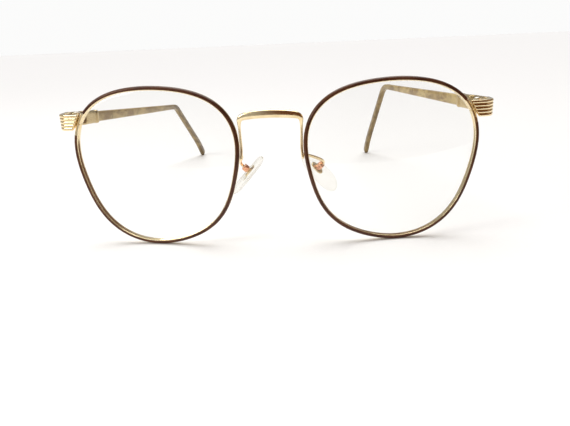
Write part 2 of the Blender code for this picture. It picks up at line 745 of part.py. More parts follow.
def main():
    clear_scene()
    front = empty("front_frame", None, (0, STAND_Y, STAND_Z), Matrix.Rotation(STAND_LEAN, 4, "X"))
    bridge(front)
    for side_name, side in SIDES:
        lens_frame = empty(
            "lens_frame_" + side_name, front, (side * LENS_SPACING / 2, 0, 0),
            Matrix.Rotation(side * WRAP, 4, "Z"),
        )
        eyewire(side_name, side, lens_frame)
        lens(side_name, side, lens_frame)
        closing_blocks(side_name, side, lens_frame)
        end_piece(side_name, side, front)
        hinge_frame = empty(
            "hinge_frame_" + side_name, front, (side * HINGE.x, HINGE.y, HINGE.z),
            Matrix.Rotation(-PITCH[side_name], 4, "X"),
        )
        temple_frame = empty(
            "temple_frame_" + side_name, hinge_frame, (0, 0, 0),
            Matrix.Rotation(side * LEAN_IN[side_name], 4, "Z"),
        )
        hinge(side_name, side, hinge_frame, temple_frame)
        collar(side_name, side, temple_frame)
        core(side_name, side, temple_frame)
        sleeve(side_name, side, temple_frame)
        pad_arm(side_name, side, front)
        _, _, normal = pad_axes(side_name, side)
        pivot = PAD_CENTRE[side_name] - normal * PIVOT_BACK
        pad_frame = empty("pad_frame_" + side_name, front, pivot, pad_rotation(side_name, side))
        nose_pad(side_name, side, pad_frame)
        pad_insert(side_name, side, pad_frame)
        pad_box(side_name, side, pad_frame)


main()
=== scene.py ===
"""The finished look of full-rim metal eyeglasses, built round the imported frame.

+X points to the wearer's left, +Y backwards along the temples and +Z up, in metres. Each fine piece
repeats its part's own shape rules with smoother sections, stands where the plain solid stands, and
rides on the same body. Sided shapes are drawn for the wearer's left and mirrored for the right.
"""

import json
import math

import bmesh
import bpy
from mathutils import Matrix, Vector


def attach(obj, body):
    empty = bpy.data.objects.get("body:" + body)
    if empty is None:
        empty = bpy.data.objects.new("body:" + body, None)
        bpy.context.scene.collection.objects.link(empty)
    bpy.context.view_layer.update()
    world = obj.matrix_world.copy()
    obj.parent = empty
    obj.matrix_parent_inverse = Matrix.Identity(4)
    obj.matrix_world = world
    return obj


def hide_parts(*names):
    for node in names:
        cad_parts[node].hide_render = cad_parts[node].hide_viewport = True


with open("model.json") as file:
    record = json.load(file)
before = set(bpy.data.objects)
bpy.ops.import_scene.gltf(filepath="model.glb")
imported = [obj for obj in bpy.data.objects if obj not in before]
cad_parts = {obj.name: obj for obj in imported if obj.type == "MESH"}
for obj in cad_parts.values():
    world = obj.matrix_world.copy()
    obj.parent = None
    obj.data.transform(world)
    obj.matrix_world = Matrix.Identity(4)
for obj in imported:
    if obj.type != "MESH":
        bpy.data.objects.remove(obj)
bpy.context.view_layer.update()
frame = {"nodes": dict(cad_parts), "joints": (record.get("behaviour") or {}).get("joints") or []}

JOINTS = {joint["name"]: joint for joint in frame["joints"]}

mm = 0.001
SIDES = (("left", 1), ("right", -1))
SOLDER = 0.06 * mm          # air left between pieces that are soldered or glued together
ROUND_OFF = 0.001 * mm
PAST = 1.0 * mm             # how far a cutting shape reaches past the piece that it cuts
CREASE = math.radians(38)   # faces that meet at a sharper angle than this keep a sharp edge
ROUND = 40                  # points round a hole, a screw or the bridge's bar
SECTION = 48                # points round a section of a temple or of a pad's fittings

# Standing pose
STAND_Y = -70.6 * mm
STAND_Z = 24.56 * mm
STAND_LEAN = math.radians(0.64)

# Lenses and rims
LENS_SPACING = 71.7 * mm
WRAP = math.radians(7.0)
BASE_CURVE = 100.0 * mm
RIM_RADII = [r * mm for r in (24.8, 27.4, 25.6, 23.8, 25.5, 27.4, 24.9, 24.2, 23.8, 23.8, 24.6, 24.1)]
RIM_STEPS = 288
RIM_OUT = 0.75 * mm
RIM_IN = 0.5 * mm
RIM_BACK = 1.0 * mm
RIM_CROWN = 0.1 * mm        # where the rim's flat faces end and its rounded outside starts
LIP_RADIUS = 0.12 * mm
ENAMEL_THICK = 0.025 * mm
ENAMEL_EDGE = math.radians(-20)   # where it ends on the rim's rounded outside, whose front is at -90
BARE_STEPS = 6              # the steps beside its split that are bare, for the closing blocks' solder
GROOVE_BACK = 0.5 * mm
GROOVE_OUT = 0.12 * mm
GROOVE_FLOOR = 0.06 * mm    # half of the groove's flat bottom
LENS_PLAY = 0.08 * mm
LENS_CENTRE = 0.95 * mm
LENS_EDGE = 0.8 * mm
LENS_RINGS = 18
SPLIT = math.radians(30.0)
SPLIT_GAP = 0.15 * mm

# Closing blocks
BLOCK_LENGTH = 1.6 * mm
BLOCK_WIDE = 2.1 * mm
BLOCK_DEEP = 2.2 * mm
BLOCK_BACK = 0.75 * mm
BLOCK_SOFT = 0.14 * mm
CLOSING_SCREW = 0.55 * mm
CLOSING_HEAD = (0.95 * mm, 0.5 * mm)      # the head's radius and height
SCREW_PLAY = 0.06 * mm

# End pieces
PLATE_START = Vector((59.61, 5.65)) * mm
PLATE_HEADING = math.radians(8.0)
PLATE_FRONT_RUN = 2.7 * mm
PLATE_TURN_RADIUS = 3.0 * mm
PLATE_THICK = 1.1 * mm
PLATE_HEIGHT = 4.8 * mm
PLATE_MIDDLE_Z = 14.2 * mm
PLATE_SHEAR = -0.55
PLATE_STOP = 0.15 * mm      # the plate ends this far short of the hinge's axis
PLATE_REAR = 1.0 * mm       # the last stretch, over which its end turns parallel to that axis
RIBS = 5
RIB_DEPTH = 0.28 * mm
RIB_STEPS = 10

# Hinges
HINGE = Vector((62.2, 13.0, 14.2)) * mm
KNUCKLE = 1.15 * mm
KNUCKLE_BORE = 0.66 * mm
KNUCKLE_MIDDLE = 0.8 * mm
KNUCKLE_TOP = 1.9 * mm
KNUCKLE_PLAY = 0.06 * mm
LEAF_X = 1.95 * mm
LEAF_THICK = 0.75 * mm
LEAF_FROM = math.radians(101)     # the knuckle is round between these angles
LEAF_TO = math.radians(349)
LEAF_HEEL = -0.2 * mm       # where the plate's outer face starts, along the temple
LEAF_ROOT = 0.9 * mm        # where its inner face starts
LEAF_SOFT = 0.12 * mm
FRONT_LEAF = 4.2 * mm
TEMPLE_LEAF = 6.2 * mm
HINGE_SCREW = 0.6 * mm
HINGE_HEAD = (0.95 * mm, 0.35 * mm)
HINGE_SCREW_TIP = 0.2 * mm  # how far the screw stands out below the hinge

# Temples
BEND = {"left": math.radians(48.3), "right": math.radians(33.8)}
TEMPLE_X = 2.2 * mm
TEMPLE_REACH = 95.0 * mm
TEMPLE_BACK = 46.0 * mm
BEND_RADIUS = 10.0 * mm
HOOK = math.radians(12.0)
HOOK_LENGTH = 14.0 * mm
COLLAR_START = 0.15 * mm
COLLAR_END = 16.0 * mm
COLLAR_HEIGHT = 4.5 * mm
SOCKET_START = 8.5 * mm
SOCKET_HEIGHT = 4.15 * mm
SOCKET_WALL = 0.2 * mm
SWELL_FROM = 0.3 * mm       # the collar swells to the socket between these distances past the leaf
SWELL_TO = 1.3 * mm
BEAD = 0.16 * mm            # the rounded band at the socket's mouth
BEAD_LENGTH = 1.5 * mm
CORE_WIDE = 0.9 * mm
CORE_HIGH = 1.5 * mm
CORE_PLAY = 0.06 * mm
CORE_STOP = 9.0 * mm
SLEEVE_THICK = 2.2 * mm
SLEEVE_HEIGHTS = (          # (distance from the hinge, height)
    (COLLAR_END, 3.55 * mm),
    (92.0 * mm, 2.2 * mm),
    (122.0 * mm, 2.5 * mm),
    (136.0 * mm, 3.1 * mm),
)
TIP_LENGTH = 0.5 * mm
TIP_ROUND = 0.55 * mm
TIP_STEPS = 8
TEMPLE_SOFT = 0.12 * mm     # the soft edges at the ends of collar and sleeve
DARKER_FROM = 5 * mm        # the sleeve's colour deepens between these places along Y
DARKER_TO = 45 * mm

# Bridge: half of the bar's centreline, with the half height and half depth of its section
BAR_HALF = (
    ((0.0, -1.0, 15.8), 1.22, 0.80),
    ((4.0, -0.8, 15.6), 1.18, 0.80),
    ((7.4, -0.3, 15.1), 1.04, 0.72),
    ((8.8, -0.1, 14.2), 0.80, 0.62),
    ((9.05, 0.15, 12.0), 0.42, 0.42),
)
BAR_PIECES = 14             # of the bar's curve, between two of its points
FOOT_PIECES = 4             # of them in each rounded foot
LEG_RADIUS = 0.4 * mm
LEG_BACK = 0.2 * mm         # the legs' centreline, behind the rims'
LEG_ANGLES = [math.radians(a) for a in (166, 170.5, 175)]

# Nose pads and their arms
PAD_CENTRE = {
    "left": Vector((12.8, 10.5, -3.7)) * mm,
    "right": Vector((-7.7, 10.5, -4.1)) * mm,
}
PAD_FRONTAL = math.radians(42.0)
PAD_SPLAY = {"left": math.radians(25.0), "right": math.radians(5.0)}
PAD_LENGTH = 15.2 * mm
PAD_WIDTH = 8.4 * mm
PAD_BACK = 0.9 * mm         # the pad's flat back and its crowned face, from the middle of its thickness
PAD_FACE = 0.8 * mm
PAD_EGG = 0.12              # how much wider the lower end is than the middle
PIVOT_BACK = 1.75 * mm
PIVOT_UP = 1.5 * mm
LUG_WIDE = 1.1 * mm
LUG_RADIUS = 0.65 * mm
INSERT_LENGTH = 4.4 * mm
INSERT_WIDTH = 2.6 * mm
INSERT_DEEP = 0.5 * mm
BOX_WALL = 0.42 * mm
BOX_LENGTH = 1.8 * mm
BOX_OPEN = -1.25 * mm
BOX_BOTTOM = -2.5 * mm
BOX_CLOSED = -2.95 * mm
BOX_PLAY = 0.1 * mm
PAD_SCREW = 0.32 * mm
PAD_HEAD = (0.62 * mm, 0.32 * mm)
PAD_SCREW_PLAY = 0.06 * mm
ARM_RADIUS = 0.45 * mm
ARM_OUT = 1.6 * mm          # the wire starts this far straight back, and ends this far square to the box
ARM_IN = 1.8 * mm
ARM_ANGLE = math.radians(173)
ARM_RISE = Vector((0.0, 0.5, 1.1)) * mm

# Camera: a 36 mm wide sensor, looking down on the front from a little to the wearer's left
CAMERA_AT = Vector((13.36, -232.53, 61.59)) * mm
CAMERA_HEADING = math.radians(3.607)
CAMERA_DOWN = math.radians(17.641)
CAMERA_ROLL = math.radians(-2.548)
CAMERA_LENS = 35.37

# Studio
FLOOR_HALF = 4.0
FLOOR_FRONT = -0.175        # the floor ends before the camera, so that the front mirrors the dim room
AIM_AT = Vector((0, 0, 0.02))     # where the lamps point


# Node trees


def node(tree, kind, inputs=(), **settings):
    """A shader node. An input's value is a plain value, or another node's output to link to it."""
    made = tree.nodes.new("ShaderNode" + kind)
    for name, value in settings.items():
        setattr(made, name, value)
    for name, value in dict(inputs).items():
        if isinstance(value, bpy.types.NodeSocket):
            tree.links.new(value, made.inputs[name])
        else:
            made.inputs[name].default_value = value
    return made


def blank(name):
    """A new material with its node tree, its Principled shader and the object's own coordinates."""
    made = bpy.data.materials.new(name)
    made.use_nodes = True
    tree = made.node_tree
    where = node(tree, "TexCoord").outputs["Object"]
    return made, tree, tree.nodes["Principled BSDF"], where


def stretched(tree, where, scale):
    """The coordinates scaled along each axis, so that a pattern on them runs long along the small one."""
    return node(tree, "Mapping", {"Vector": where, "Scale": scale}).outputs["Vector"]


def noise(tree, where, per_metre, detail=2.0, roughness=0.5, distortion=0.0):
    """Noise with about this many patches in a metre."""
    made = node(tree, "TexNoise", {
        "Vector": where, "Scale": per_metre,
        "Detail": detail, "Roughness": roughness, "Distortion": distortion,
    })
    return made.outputs["Fac"]


def spread(tree, value, low, high, to_low=0.0, to_high=1.0):
    """The value's stretch from low to high, mapped smoothly onto another."""
    made = node(tree, "MapRange", {
        "Value": value, "From Min": low, "From Max": high, "To Min": to_low, "To Max": to_high,
    }, interpolation_type="SMOOTHSTEP")
    return made.outputs["Result"]


def mix(tree, factor, a, b):
    """The colour between a and b. Each of the three is a plain value or another node's output."""
    made = node(tree, "Mix", data_type="RGBA")
    for index, value in ((0, factor), (6, a), (7, b)):
        if isinstance(value, bpy.types.NodeSocket):
            tree.links.new(value, made.inputs[index])
        else:
            made.inputs[index].default_value = value
    return made.outputs[2]


def bump(tree, height, depth):
    """The surface's normal, bent as if the height stood out by up to this depth."""
    made = node(tree, "Bump", {"Height": height, "Distance": depth, "Strength": 1.0})
    return made.outputs["Normal"]


def join(tree, shader, **sockets):
    """Links outputs to the shader's inputs, whose names are written with _ for each space."""
    for name, output in sockets.items():
        tree.links.new(output, shader.inputs[name.replace("_", " ")])


def plain(shader, **values):
    """Sets the shader's inputs to plain values."""
    for name, value in values.items():
        shader.inputs[name.replace("_", " ")].default_value = value


# Finishes


def plated(name, bright, tarnish_and_shade_tone, roughness):
    """Plated metal: uneven tint, hollows darkened with painted shade, bright edges and fine polishing
    marks.
    """
    made, tree, shader, where = blank(name)
    cloud = spread(tree, noise(tree, where, 260.0, detail=4.0), 0.42, 0.72)
    # Painted shade: where the surface curves inwards, its colour goes over to the darker tone.
    hollow_shade = spread(tree, node(tree, "NewGeometry").outputs["Pointiness"], 0.47, 0.5, 1.0, 0.0)
    dulled = node(tree, "Math", {0: cloud, 1: 0.35}, operation="MULTIPLY").outputs[0]
    # The darker tone follows the tarnish clouds and, in the hollows, the painted shade.
    tarnish_and_hollow_shade = node(tree, "Math", {0: dulled, 1: hollow_shade}, operation="MAXIMUM").outputs[0]
    marks = noise(tree, stretched(tree, where, (1.0, 0.12, 1.0)), 7000.0, detail=3.0)
    join(
        tree, shader,
        Base_Color=mix(tree, tarnish_and_hollow_shade, bright, tarnish_and_shade_tone),
        Roughness=spread(tree, marks, 0.3, 0.7, roughness * 0.75, roughness * 1.35),
        Normal=bump(tree, marks, 0.004 * mm),
    )
    plain(shader, Metallic=1.0)
    return made


def gold():
    return plated("gold plate", (0.92, 0.76, 0.48, 1), (0.58, 0.40, 0.17, 1), 0.17)


# Painted shade: a darker copy of the gold plate for the temples' collars, with a rougher shine.
def shaded_dull_gold():
    return plated("shaded dull gold", (0.56, 0.43, 0.23, 1), (0.36, 0.24, 0.09, 1), 0.26)


def rose_gold():
    return plated("rose gold", (0.92, 0.52, 0.33, 1), (0.66, 0.28, 0.15, 1), 0.26)


def steel():
    return plated("steel", (0.80, 0.76, 0.68, 1), (0.46, 0.41, 0.34, 1), 0.24)


def enamel():
    """Brown enamel baked onto the rim: deep and glossy, with a faint mottle and its own slight waviness."""
    made, tree, shader, where = blank("brown enamel")
    cloud = spread(tree, noise(tree, where, 170.0, detail=5.0, roughness=0.6), 0.35, 0.68)
    specks = spread(tree, noise(tree, where, 4200.0), 0.56, 0.72)
    body = mix(tree, cloud, (0.060, 0.016, 0.005, 1), (0.112, 0.038, 0.013, 1))
    lit = node(tree, "Math", {0: specks, 1: 0.3}, operation="MULTIPLY").outputs[0]
    join(
        tree, shader,
        Base_Color=mix(tree, lit, body, (0.24, 0.10, 0.04, 1)),
        Roughness=spread(tree, cloud, 0.0, 1.0, 0.36, 0.48),
        Coat_Normal=bump(tree, noise(tree, where, 1300.0), 0.006 * mm),
    )
    plain(shader, Coat_Weight=0.3, Coat_Roughness=0.08, Specular_IOR_Level=0.15)
    return made


def acetate():
    """Marbled acetate: long tan clouds in olive brown, deeper towards the ear, with veins and hairlines."""
    made, tree, shader, where = blank("tortoise acetate")
    long_way = stretched(tree, where, (1.0, 0.35, 0.8))
    clouds = spread(tree, noise(tree, long_way, 300.0, 4.0, 0.55, 0.8), 0.38, 0.64)
    veins = spread(tree, noise(tree, long_way, 520.0, 5.0, 0.6, 1.6), 0.54, 0.68)
    grain = spread(tree, noise(tree, where, 3000.0, 3.0), 0.3, 0.7)
    along = node(tree, "SeparateXYZ", {"Vector": where}).outputs["Y"]
    ear = spread(tree, along, DARKER_FROM, DARKER_TO)
    dark = mix(tree, ear, (0.30, 0.195, 0.066, 1), (0.150, 0.093, 0.033, 1))
    light = mix(tree, ear, (0.55, 0.41, 0.175, 1), (0.31, 0.22, 0.092, 1))
    body = mix(tree, clouds, dark, light)
    faint = node(tree, "Math", {0: veins, 1: 0.62}, operation="MULTIPLY").outputs[0]
    veined = mix(tree, faint, body, (0.085, 0.042, 0.015, 1))
    flecked = node(tree, "Math", {0: grain, 1: 0.14}, operation="MULTIPLY").outputs[0]
    hairlines = noise(tree, stretched(tree, where, (1.0, 0.06, 1.0)), 5200.0, 2.0)
    join(
        tree, shader,
        Base_Color=mix(tree, flecked, veined, (0.50, 0.40, 0.22, 1)),
        Roughness=spread(tree, hairlines, 0.3, 0.7, 0.26, 0.40),
        Coat_Normal=bump(tree, hairlines, 0.003 * mm),
    )
    plain(shader, Coat_Weight=0.2, Coat_Roughness=0.12, IOR=1.45, Specular_IOR_Level=0.3)
    return made


def see_through(tree, tint, shine, least):
    """A thin clear wall: it shows what is behind it, tinted, and mirrors more where it is seen edge on."""
    facing = node(tree, "LayerWeight", {"Blend": 0.5}).outputs["Facing"]
    steep = node(tree, "Math", {0: facing, 1: 5.0}, operation="POWER").outputs[0]
    share = spread(tree, steep, 0.0, 1.0, least, 1.0)
    through = node(tree, "BsdfTransparent", {"Color": tint}).outputs[0]
    both = node(tree, "MixShader", {0: share, 1: through, 2: shine})
    tree.links.new(both.outputs[0], tree.nodes["Material Output"].inputs["Surface"])


def lens_glass():
    """Clear polished lens, with a trace of dust in its shine."""
    made, tree, shader, where = blank("lens glass")
    dust = spread(tree, noise(tree, where, 900.0, 6.0, 0.7), 0.55, 0.85, 0.0, 0.05)
    shine = node(tree, "BsdfAnisotropic", {"Color": (0.8, 0.8, 0.8, 1), "Roughness": dust}).outputs[0]
    tree.nodes.remove(shader)
    see_through(tree, (0.993, 0.996, 0.993, 1), shine, 0.03)
    return made


def pad_plastic():
    """Clear soft plastic of the nose pads: nearly invisible face on, and grey at its edges, where the grey
    is painted shade.
    """
    made, tree, shader, where = blank("clear pad")
    cloud = spread(tree, noise(tree, where, 420.0, 3.0), 0.35, 0.7)
    join(
        tree, shader,
        Base_Color=mix(tree, cloud, (0.62, 0.61, 0.54, 1), (0.50, 0.48, 0.40, 1)),
        Roughness=spread(tree, noise(tree, where, 2600.0), 0.3, 0.7, 0.12, 0.22),
    )
    # Painted shade: what shows through the pad is tinted grey where its surface curves sharply, along its
    # edges.
    edge = spread(tree, node(tree, "NewGeometry").outputs["Pointiness"], 0.515, 0.57)
    tint = mix(tree, edge, (0.985, 0.98, 0.965, 1), (0.62, 0.60, 0.49, 1))
    see_through(tree, tint, shader.outputs[0], 0.03)
    return made


def paper():
    """The pale matt floor, with a barely visible tooth."""
    made, tree, shader, where = blank("pale floor")
    tooth = noise(tree, where, 900.0, 3.0)
    join(
        tree, shader,
        Base_Color=mix(tree, tooth, (0.86, 0.86, 0.855, 1), (0.90, 0.90, 0.895, 1)),
        Normal=bump(tree, tooth, 0.02 * mm),
    )
    plain(shader, Roughness=0.85, Specular_IOR_Level=0.1)
    return made


# Meshes


def make(name, points, faces, place, side=1):
    """An object at the origin, with the shape in its place. On the right side, -1, it is mirrored in X."""
    mesh = bpy.data.meshes.new(name)
    mesh.from_pydata([place @ Vector((side * p[0], p[1], p[2])) for p in points], [], faces)
    shape = bmesh.new()
    shape.from_mesh(mesh)
    bmesh.ops.recalc_face_normals(shape, faces=shape.faces)
    shape.to_mesh(mesh)
    shape.free()
    obj = bpy.data.objects.new(name, mesh)
    bpy.context.scene.collection.objects.link(obj)
    return obj


def settle(obj):
    """Turns the object's modifiers, or its curve, into a plain mesh, and returns the object with it."""
    graph = bpy.context.evaluated_depsgraph_get()
    mesh = bpy.data.meshes.new_from_object(obj.evaluated_get(graph))
    if obj.type == "MESH":
        obj.modifiers.clear()
        obj.data = mesh
        return obj
    name = obj.name
    bpy.data.objects.remove(obj)
    settled = bpy.data.objects.new(name, mesh)
    bpy.context.scene.collection.objects.link(settled)
    return settled


def carve(obj, tool, operation="DIFFERENCE"):
    """Cuts the tool's shape out of the object, or joins it on, and removes the tool."""
    modifier = obj.modifiers.new(tool.name, "BOOLEAN")
    modifier.operation = operation
    modifier.object = tool
    settle(obj)
    bpy.data.objects.remove(tool)


def hand_over(obj, body, slot, nodes, *finishes):
    """Gives a finished shape its materials, and puts it on its body in the place of these CAD nodes."""
    for finish in finishes:
        obj.data.materials.append(finish)
    obj.data.shade_smooth()
    obj.data.set_sharp_from_angle(angle=CREASE)
    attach(obj, body)
    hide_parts(*nodes)


def loft(loops, closed=False):
    """Points and faces of a skin through loops of equal length. Open lofts get a cap at each end."""
    count = len(loops[0])
    points = [p for loop in loops for p in loop]
    faces = []
    spans = len(loops) if closed else len(loops) - 1
    for i in range(spans):
        a, b = i * count, (i + 1) % len(loops) * count
        for k in range(count):
            n = (k + 1) % count
            faces.append((a + k, a + n, b + n, b + k))
    if not closed:
        faces.append(tuple(reversed(range(count))))
        faces.append(tuple(range((len(loops) - 1) * count, len(loops) * count)))
    return points, faces


def arc(centre, half_x, half_y, start, end, steps):
    """Points of an elliptical arc, ends included."""
    points = []
    for k in range(steps + 1):
        angle = start + (end - start) * k / steps
        points.append((centre[0] + half_x * math.cos(angle), centre[1] + half_y * math.sin(angle)))
    return points


def superellipse(half_x, half_y, power, count):
    """A rounded rectangle: power 2 is an ellipse, and a larger power has squarer corners."""
    loop = []
    for k in range(count):
        c = math.cos(2 * math.pi * (k + 0.5) / count)
        s = math.sin(2 * math.pi * (k + 0.5) / count)
        x = math.copysign(abs(c) ** (2 / power), c) * half_x
        y = math.copysign(abs(s) ** (2 / power), s) * half_y
        loop.append((x, y))
    return loop


def inset(outline, amount):
    """The outline moved inwards by this amount. It runs counter-clockwise."""
    moved = []
    for before, here, after in zip(outline[-1:] + outline, outline, outline[1:] + outline[:1]):
        into, out = Vector(here) - Vector(before), Vector(after) - Vector(here)
        across = into.normalized() + out.normalized()
        across = Vector((-across.y, across.x)).normalized()
        moved.append(tuple(Vector(here) + across * amount))
    return moved


def rounding(low, high, radius, steps=4):
    """(level, inset) pairs from one end of a prism to the other, with both its edges rounded."""
    turns = [math.pi / 2 * k / steps for k in range(steps + 1)]
    rise = [(radius * (1 - math.sin(t)), radius * (1 - math.cos(t))) for t in reversed(turns)]
    lower = [(low + up, shrink) for up, shrink in rise]
    upper = [(high - up, shrink) for up, shrink in reversed(rise)]
    return lower + upper


def rectangle(low, high):
    """The rectangle between two corners, counter-clockwise."""
    return [low, (high[0], low[1]), high, (low[0], high[1])]


def upright(x, y, level):
    """A place for a prism that stands along the third axis."""
    return (x, y, level)


def sideways(y, z, level):
    """A place for a prism that lies along the first axis."""
    return (level, y, z)


def prism(outline, low, high, place):
    """An outline drawn out between two levels. place(x, y, level) gives each point."""
    return loft([[place(x, y, level) for x, y in outline] for level in (low, high)])


def drill(obj, radius, half, place, axes, side):
    """Cuts a round hole along the axis of this place, this far to each side of its middle."""
    hole = superellipse(radius, radius, 2, ROUND)
    carve(obj, make("drill", *prism(hole, -half, half, place), axes, side))


def rounded_prism(outline, low, high, radius, place):
    """A prism whose two ends have rounded edges."""
    levels = rounding(low, high, radius)
    return loft([[place(x, y, level) for x, y in inset(outline, shrink)] for level, shrink in levels])


def bored_prism(outline, bore, low, high, radius, place):
    """A prism with rounded edges and a hole through it, whose two mouths are chamfered."""
    outer = [(level, inset(outline, shrink)) for level, shrink in rounding(low, high, radius)]
    wide = inset(bore, -radius / 2)
    inner = [(high, wide), (high - radius / 2, bore), (low + radius / 2, bore), (low, wide)]
    return loft([[place(x, y, level) for x, y in loop] for level, loop in outer + inner], closed=True)


def screw(name, axes, side, place, radius, low, high, head, head_up=True):
    """A slotted screw with a domed head. place(x, y, level) puts a point round the screw's axis."""
    head_radius, head_height = head
    sign = 1 if head_up else -1
    foot, seat = (low, high) if head_up else (high, low)
    soft = 0.18 * radius
    profile = [(foot, radius - soft), (foot + sign * soft, radius), (seat, radius)]
    profile += [(seat, 0.93 * head_radius), (seat + sign * 0.12 * head_height, head_radius)]
    for t in (0.0, 0.25, 0.5, 0.75, 1.0):
        turn = t * math.pi / 2
        profile.append((
            seat + sign * head_height * (0.45 + 0.55 * math.sin(turn)),
            head_radius * (0.55 + 0.45 * math.cos(turn)),
        ))
    loops = [[place(x, y, level) for x, y in superellipse(r, r, 2, ROUND)] for level, r in profile]
    made = make(name, *loft(loops), axes, side)
    top = seat + sign * head_height
    long, wide = 2 * head_radius, 0.2 * head_radius
    mouth = rectangle((-long, -wide), (long, wide))
    slot = prism(mouth, top - sign * 0.5 * head_height, top + sign * head_height, place)
    carve(made, make(name + "_slot", *slot, axes, side))
    return made


# Places


FRONT = Matrix.Translation((0, STAND_Y, STAND_Z)) @ Matrix.Rotation(STAND_LEAN, 4, "X")


def lens_axes(side):
    """The lens's frame: its middle on the front, turned back by the wrap."""
    turn = Matrix.Rotation(side * WRAP, 4, "Z")
    return FRONT @ Matrix.Translation((side * LENS_SPACING / 2, 0, 0)) @ turn


def hinge_axes(side_name, side):
    """The hinge's frame: its joint's place, with Z up the joint's axis and X across the glasses."""
    joint = JOINTS[f"temple_{side_name}_fold"]
    up = Vector(joint["axis"]) * side
    across = Vector((1, 0, 0))
    turn = Matrix((across, up.cross(across), up)).transposed().to_4x4()
    return Matrix.Translation(joint["pos_m"]) @ turn


def temple_axes(side_name, side):
    """The temple's frame: the hinge's, turned in by as much as the temple still has to open."""
    lean = math.radians(-JOINTS[f"temple_{side_name}_fold"]["range_deg"][0])
    return hinge_axes(side_name, side) @ Matrix.Rotation(side * lean, 4, "Z")


def pad_directions(side_name, side):
    """The pad's own directions in the front's frame: across, along and out of its face."""
    splay = PAD_SPLAY[side_name]
    along = Vector((side * math.sin(PAD_FRONTAL), 0, -math.cos(PAD_FRONTAL)))
    inward = Vector((-side * math.cos(PAD_FRONTAL), 0, -math.sin(PAD_FRONTAL)))
    back = Vector((0, 1, 0))
    normal = inward * math.cos(splay) + back * math.sin(splay)
    across = back * math.cos(splay) - inward * math.sin(splay)
    return across, along, normal


def pad_axes(side_name, side):
    """The pad's frame: on its screw, with Z out of the pad's face."""
    across, along, normal = pad_directions(side_name, side)
    pivot = PAD_CENTRE[side_name] - normal * PIVOT_BACK
    return FRONT @ Matrix.Translation(pivot) @ Matrix((across * side, along, normal)).transposed().to_4x4()


# Rims and lenses


def rim_radius(angle):
    """The smooth closed curve through RIM_RADII, which are given at equal angles from the temple side."""
    count = len(RIM_RADII)
    total = 0.0
    for k, radius in enumerate(RIM_RADII):
        away = angle - 2 * math.pi * k / count
        near = abs(math.sin(away / 2)) < 1e-9
        total += radius * (1.0 if near else math.sin(count * away / 2) / (count * math.tan(away / 2)))
    return total


def rim_point(angle, out, back, along=0.0):
    """A point beside the rim in the lens's frame: outwards, backwards and along it from its centreline."""
    step = 1e-4
    radius = rim_radius(angle)
    slope = (rim_radius(angle + step) - rim_radius(angle - step)) / (2 * step)
    c, s = math.cos(angle), math.sin(angle)
    tangent = Vector((slope * c - radius * s, 0, slope * s + radius * c)).normalized()
    outward = Vector((tangent.z, 0, -tangent.x))
    centre = Vector((radius * c, radius * radius / (2 * BASE_CURVE), radius * s))
    return centre + outward * out + Vector((0, back, 0)) + tangent * along


def rim_angles(count):
    """Angles round the rim from one of its ends to the other."""
    gap = SPLIT_GAP / rim_radius(SPLIT)
    return [SPLIT + gap + (2 * math.pi - 2 * gap) * k / count for k in range(count + 1)]


def rim_section():
    """The rim's section as runs of (outwards, backwards) points, each with whether it is enamelled."""
    bare = RIM_BACK - ENAMEL_THICK
    lip = RIM_IN - LIP_RADIUS
    crown = (RIM_CROWN, 0.0)
    wide = RIM_OUT - RIM_CROWN
    front_lip = arc((-lip, -bare + LIP_RADIUS), LIP_RADIUS, LIP_RADIUS, math.pi, 1.5 * math.pi, 4)
    enamelled = [(-lip + 0.05 * mm, -RIM_BACK)]
    enamelled += arc(crown, wide, RIM_BACK, -math.pi / 2, ENAMEL_EDGE, 14)
    outside = arc(crown, wide - ENAMEL_THICK, bare, ENAMEL_EDGE + 0.03, math.pi / 2, 14)
    back_lip = arc((-lip, bare - LIP_RADIUS), LIP_RADIUS, LIP_RADIUS, math.pi / 2, math.pi, 4)
    groove = [
        (-RIM_IN, GROOVE_BACK),
        (GROOVE_OUT, GROOVE_FLOOR),
        (GROOVE_OUT, -GROOVE_FLOOR),
        (-RIM_IN, -GROOVE_BACK),
    ]
    return ((front_lip, False), (enamelled, True), (outside + back_lip + groove, False))


def eyewire(side_name, side):
    """The grooved rim wire: gold, with brown enamel over its front except beside its split."""
    section = [point for run, _ in rim_section() for point in run]
    enamelled = [coated for run, coated in rim_section() for _ in run[1:] + run[:1]]
    loops = [[rim_point(angle, out, back) for out, back in section] for angle in rim_angles(RIM_STEPS)]
    rim = make("rim_" + side_name, *loft(loops), lens_axes(side), side)
    for index, face in enumerate(rim.data.polygons):
        step, around = divmod(index, len(section))
        if BARE_STEPS <= step < RIM_STEPS - BARE_STEPS:
            face.material_index = int(enamelled[around])
    hand_over(rim, "front", "rim_enamel", ["eyewire_" + side_name], FINISH["gold"], FINISH["enamel"])


def lens(side_name, side):
    """A meniscus lens, crowned at its middle, with a bevelled edge that stands in the rim's groove."""
    angles = rim_angles(RIM_STEPS)[:-1]
    shoulder = -RIM_IN - LENS_PLAY
    tip = GROOVE_OUT - 1.6 * LENS_PLAY
    soft = 0.06 * mm
    edge = (
        (shoulder - soft, -LENS_EDGE),
        (shoulder, -LENS_EDGE + soft),
        (shoulder, -GROOVE_BACK + LENS_PLAY),
        (tip, 0.0),
        (shoulder, GROOVE_BACK - LENS_PLAY),
        (shoulder, LENS_EDGE - soft),
        (shoulder - soft, LENS_EDGE),
    )
    outline = [rim_point(angle, shoulder - soft, 0) for angle in angles]

    def ring(share, face):
        half = face * (LENS_CENTRE + (LENS_EDGE - LENS_CENTRE) * share * share)
        return [(p.x * share, p.y * share * share + half, p.z * share) for p in outline]

    shares = [(k + 0.5) / LENS_RINGS for k in range(LENS_RINGS)]
    loops = [ring(share, -1) for share in shares]
    loops += [[rim_point(angle, out, back) for angle in angles] for out, back in edge]
    loops += [ring(share, 1) for share in reversed(shares)]
    glass = make("glass_" + side_name, *loft(loops), lens_axes(side), side)
    hand_over(glass, "front", "lens", ["lens_" + side_name], FINISH["lens"])


